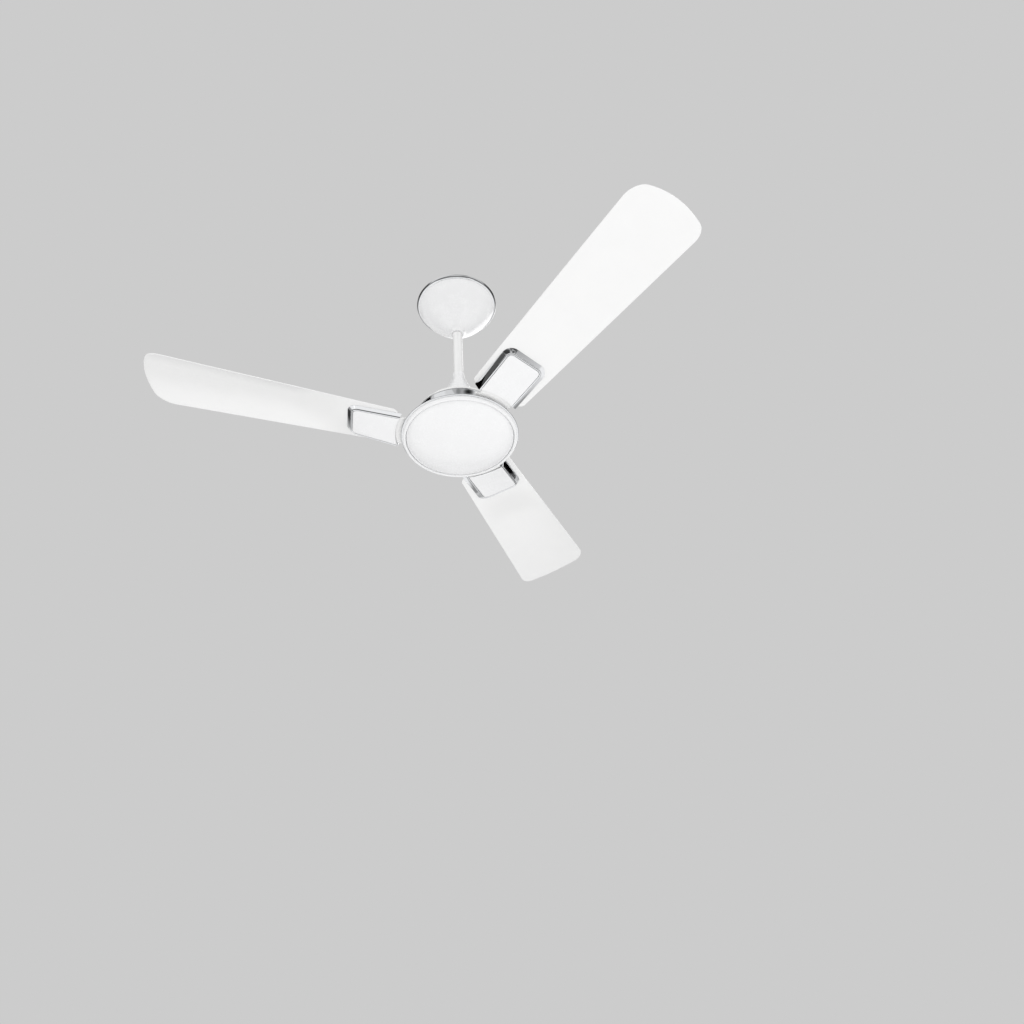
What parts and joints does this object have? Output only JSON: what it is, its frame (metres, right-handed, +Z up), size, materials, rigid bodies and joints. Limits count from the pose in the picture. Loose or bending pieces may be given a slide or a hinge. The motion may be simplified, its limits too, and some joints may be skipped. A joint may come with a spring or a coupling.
{
  "type": "ceiling fan",
  "caption": "White three-blade ceiling fan on a down rod, with bright trim, hung from a ceiling hook by a rubber reel in a shackle.",
  "frame": {"origin": "saddle of the rubber reel, where the ceiling hook bears, on the fan's axis", "axes": "+Z up along the down rod; +X along the shackle and coupling bolts; the canopy's screw faces +Y"},
  "size_m": [1.012, 1.0626, 0.4369],
  "materials": {
    "white_enamel": "glossy white enamel, nearly smooth",
    "white_plastic": "smooth white moulding, semi gloss",
    "chrome_trim": "bright chrome plate",
    "steel": "ground steel",
    "zinc_plate": "zinc plated steel",
    "stator_iron": "laminated iron, dull",
    "copper_wire": "varnished copper wire",
    "rubber": "moulded black rubber",
    "lead_sleeve": "pale insulating sleeve",
    "terminal_plastic": "ivory moulding",
    "capacitor_plastic": "dark moulding"
  },
  "bodies": {
    "shackle": {"shackle_plate_right": "zinc_plate", "shackle_plate_left": "zinc_plate", "hanger_reel": "rubber", "reel_bolt": "zinc_plate", "reel_nut": "zinc_plate", "reel_split_pin": "steel", "rod_bolt": "zinc_plate", "rod_nut": "zinc_plate", "rod_split_pin": "steel", "terminal_block": "terminal_plastic", "capacitor": "capacitor_plastic"},
    "rod": {"down_rod": "white_enamel", "shaft_coupling": "steel", "coupling_bolt": "zinc_plate", "coupling_nut": "zinc_plate", "coupling_split_pin": "steel", "motor_shaft": "steel", "stator_core": "stator_iron", "stator_winding": "copper_wire", "upper_bearing_inner_race": "steel", "lower_bearing_inner_race": "steel", "lead_wires": "lead_sleeve"},
    "canopy": {"canopy_shell": "white_plastic", "canopy_ring": "chrome_trim", "canopy_screw": "zinc_plate"},
    "bell": {"bell_cover": "white_plastic", "bell_screw": "zinc_plate"},
    "rotor": {"upper_housing": "white_enamel", "lower_housing": "white_enamel", "rotor_ring": "stator_iron", "motor_band": "chrome_trim", "upper_bearing_outer_race": "steel", "lower_bearing_outer_race": "steel", "bottom_ring": "white_plastic", "rim_band": "chrome_trim", "dome_cover": "white_plastic", "housing_screw_1": "zinc_plate", "housing_screw_2": "zinc_plate", "housing_screw_3": "zinc_plate", "blade_arm_1": "white_enamel", "arm_screw_1": "zinc_plate", "blade_1": "white_enamel", "trim_frame_1": "chrome_trim", "trim_panel_1": "white_plastic", "blade_screw_1_1": "zinc_plate", "blade_screw_1_2": "zinc_plate", "blade_arm_2": "white_enamel", "arm_screw_2": "zinc_plate", "blade_2": "white_enamel", "trim_frame_2": "chrome_trim", "trim_panel_2": "white_plastic", "blade_screw_2_1": "zinc_plate", "blade_screw_2_2": "zinc_plate", "blade_arm_3": "white_enamel", "arm_screw_3": "zinc_plate", "blade_3": "white_enamel", "trim_frame_3": "chrome_trim", "trim_panel_3": "white_plastic", "blade_screw_3_1": "zinc_plate", "blade_screw_3_2": "zinc_plate"}
  },
  "joints": [
    {"name": "rod_swing", "type": "hinge", "parent": "shackle", "child": "rod", "pos_m": [0, 0, -0.033], "axis": [1, 0, 0], "range_deg": [-3, 3]},
    {"name": "rotor_spin", "type": "hinge", "parent": "rod", "child": "rotor", "pos_m": [0, 0, -0.385], "axis": [0, 0, 1], "continuous": true},
    {"name": "canopy_slide", "type": "slide", "parent": "rod", "child": "canopy", "axis": [0, 0, 1], "range_m": [-0.07, 0]},
    {"name": "bell_slide", "type": "slide", "parent": "rod", "child": "bell", "axis": [0, 0, 1], "range_m": [0, 0.045]}
  ]
}
